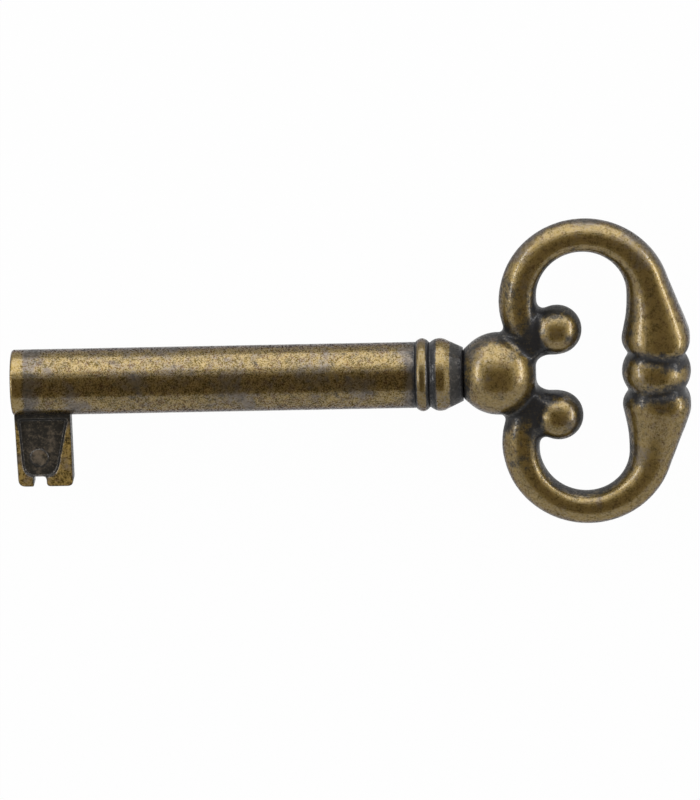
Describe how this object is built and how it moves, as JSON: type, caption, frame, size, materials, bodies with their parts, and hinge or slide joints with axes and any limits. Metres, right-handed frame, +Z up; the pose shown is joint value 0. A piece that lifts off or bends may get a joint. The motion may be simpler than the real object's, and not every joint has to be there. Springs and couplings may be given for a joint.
{
  "type": "furniture key",
  "caption": "Barrel key for furniture with a pierced scroll bow, ball neck, ringed collar, hollow round shank and a plate bit with a warding notch.",
  "frame": {"origin": "middle of the key's box in X and Y, at the level of its lowest point as it lies flat", "axes": "+X from the tip to the bow along the barrel, +Y away from the bit, +Z up, square to the flat of the bow"},
  "size_m": [0.072, 0.0336, 0.0088],
  "materials": {
    "barrel_brass": "patinated, speckled, satin",
    "bit_brass": "patinated, dark in the sunk panel",
    "collar_brass": "patinated, rubbed bright on the crests",
    "bow_brass": "patinated, rubbed smooth, dark in the crevices"
  },
  "bodies": {
    "root": {"barrel": "barrel_brass", "bit": "bit_brass", "collar_ring": "collar_brass", "collar_ferrule": "collar_brass", "bow": "bow_brass"}
  },
  "joints": []
}
